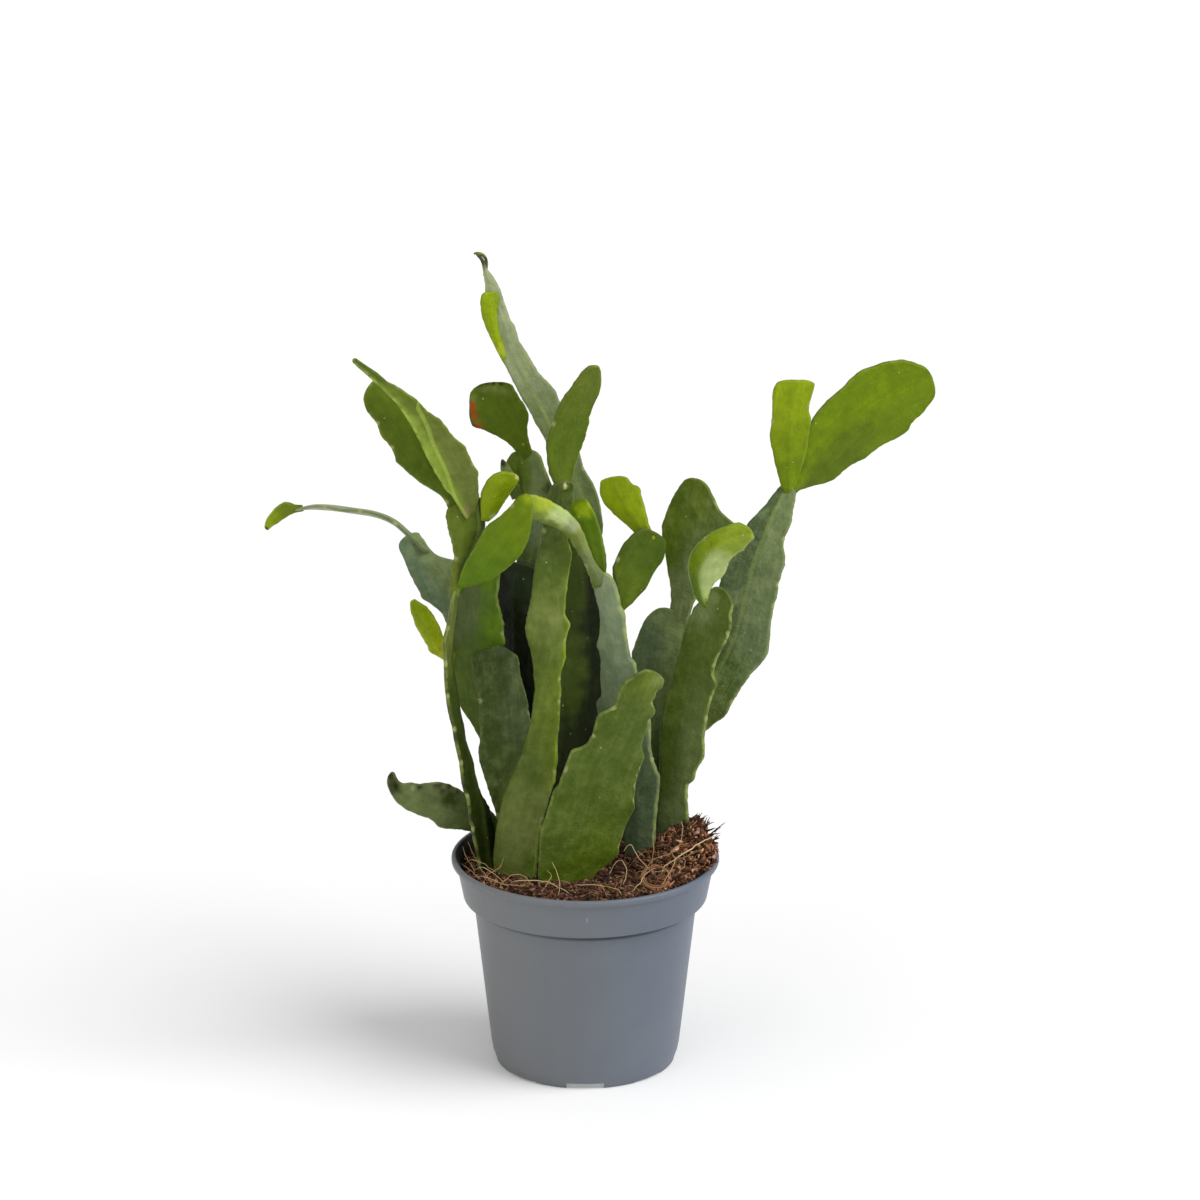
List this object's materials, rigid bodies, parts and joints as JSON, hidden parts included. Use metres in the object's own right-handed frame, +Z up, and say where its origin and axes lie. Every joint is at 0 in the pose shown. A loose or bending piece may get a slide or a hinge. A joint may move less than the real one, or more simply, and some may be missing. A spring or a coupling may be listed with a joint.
{
  "type": "potted rhipsalis",
  "caption": "Young rhipsalis in a round nursery pot: flat, scalloped, leaf-like shoots that branch and lean out over coir potting mix.",
  "frame": {"origin": "centre of the bounding box, at the underside of the pot's foot ring", "axes": "+Z up along the pot's axis; -Y towards the viewer, the side of the broad front blade; +X to the viewer's right, towards the largest leaf"},
  "size_m": [0.3024, 0.1313, 0.3621],
  "materials": {
    "grey_plastic": "satin moulded polypropylene",
    "coir": "matt loose coir chips and fibres",
    "dark_green": "waxy older plant skin",
    "blue_green": "waxy plant skin with a pale bloom",
    "fresh_green": "satin younger plant skin"
  },
  "bodies": {
    "root": {"pot": "grey_plastic", "potting_mix": "coir", "shoot_left": "dark_green", "shoot_low_left": "dark_green", "shoot_cut_left": "dark_green", "shoot_back_left": "dark_green", "shoot_centre": "fresh_green", "shoot_back_centre": "dark_green", "shoot_tall_back": "dark_green", "shoot_right_centre": "blue_green", "shoot_front": "fresh_green", "shoot_right": "blue_green", "shoot_far_right": "blue_green", "shoot_back_right": "dark_green"}
  },
  "joints": []
}
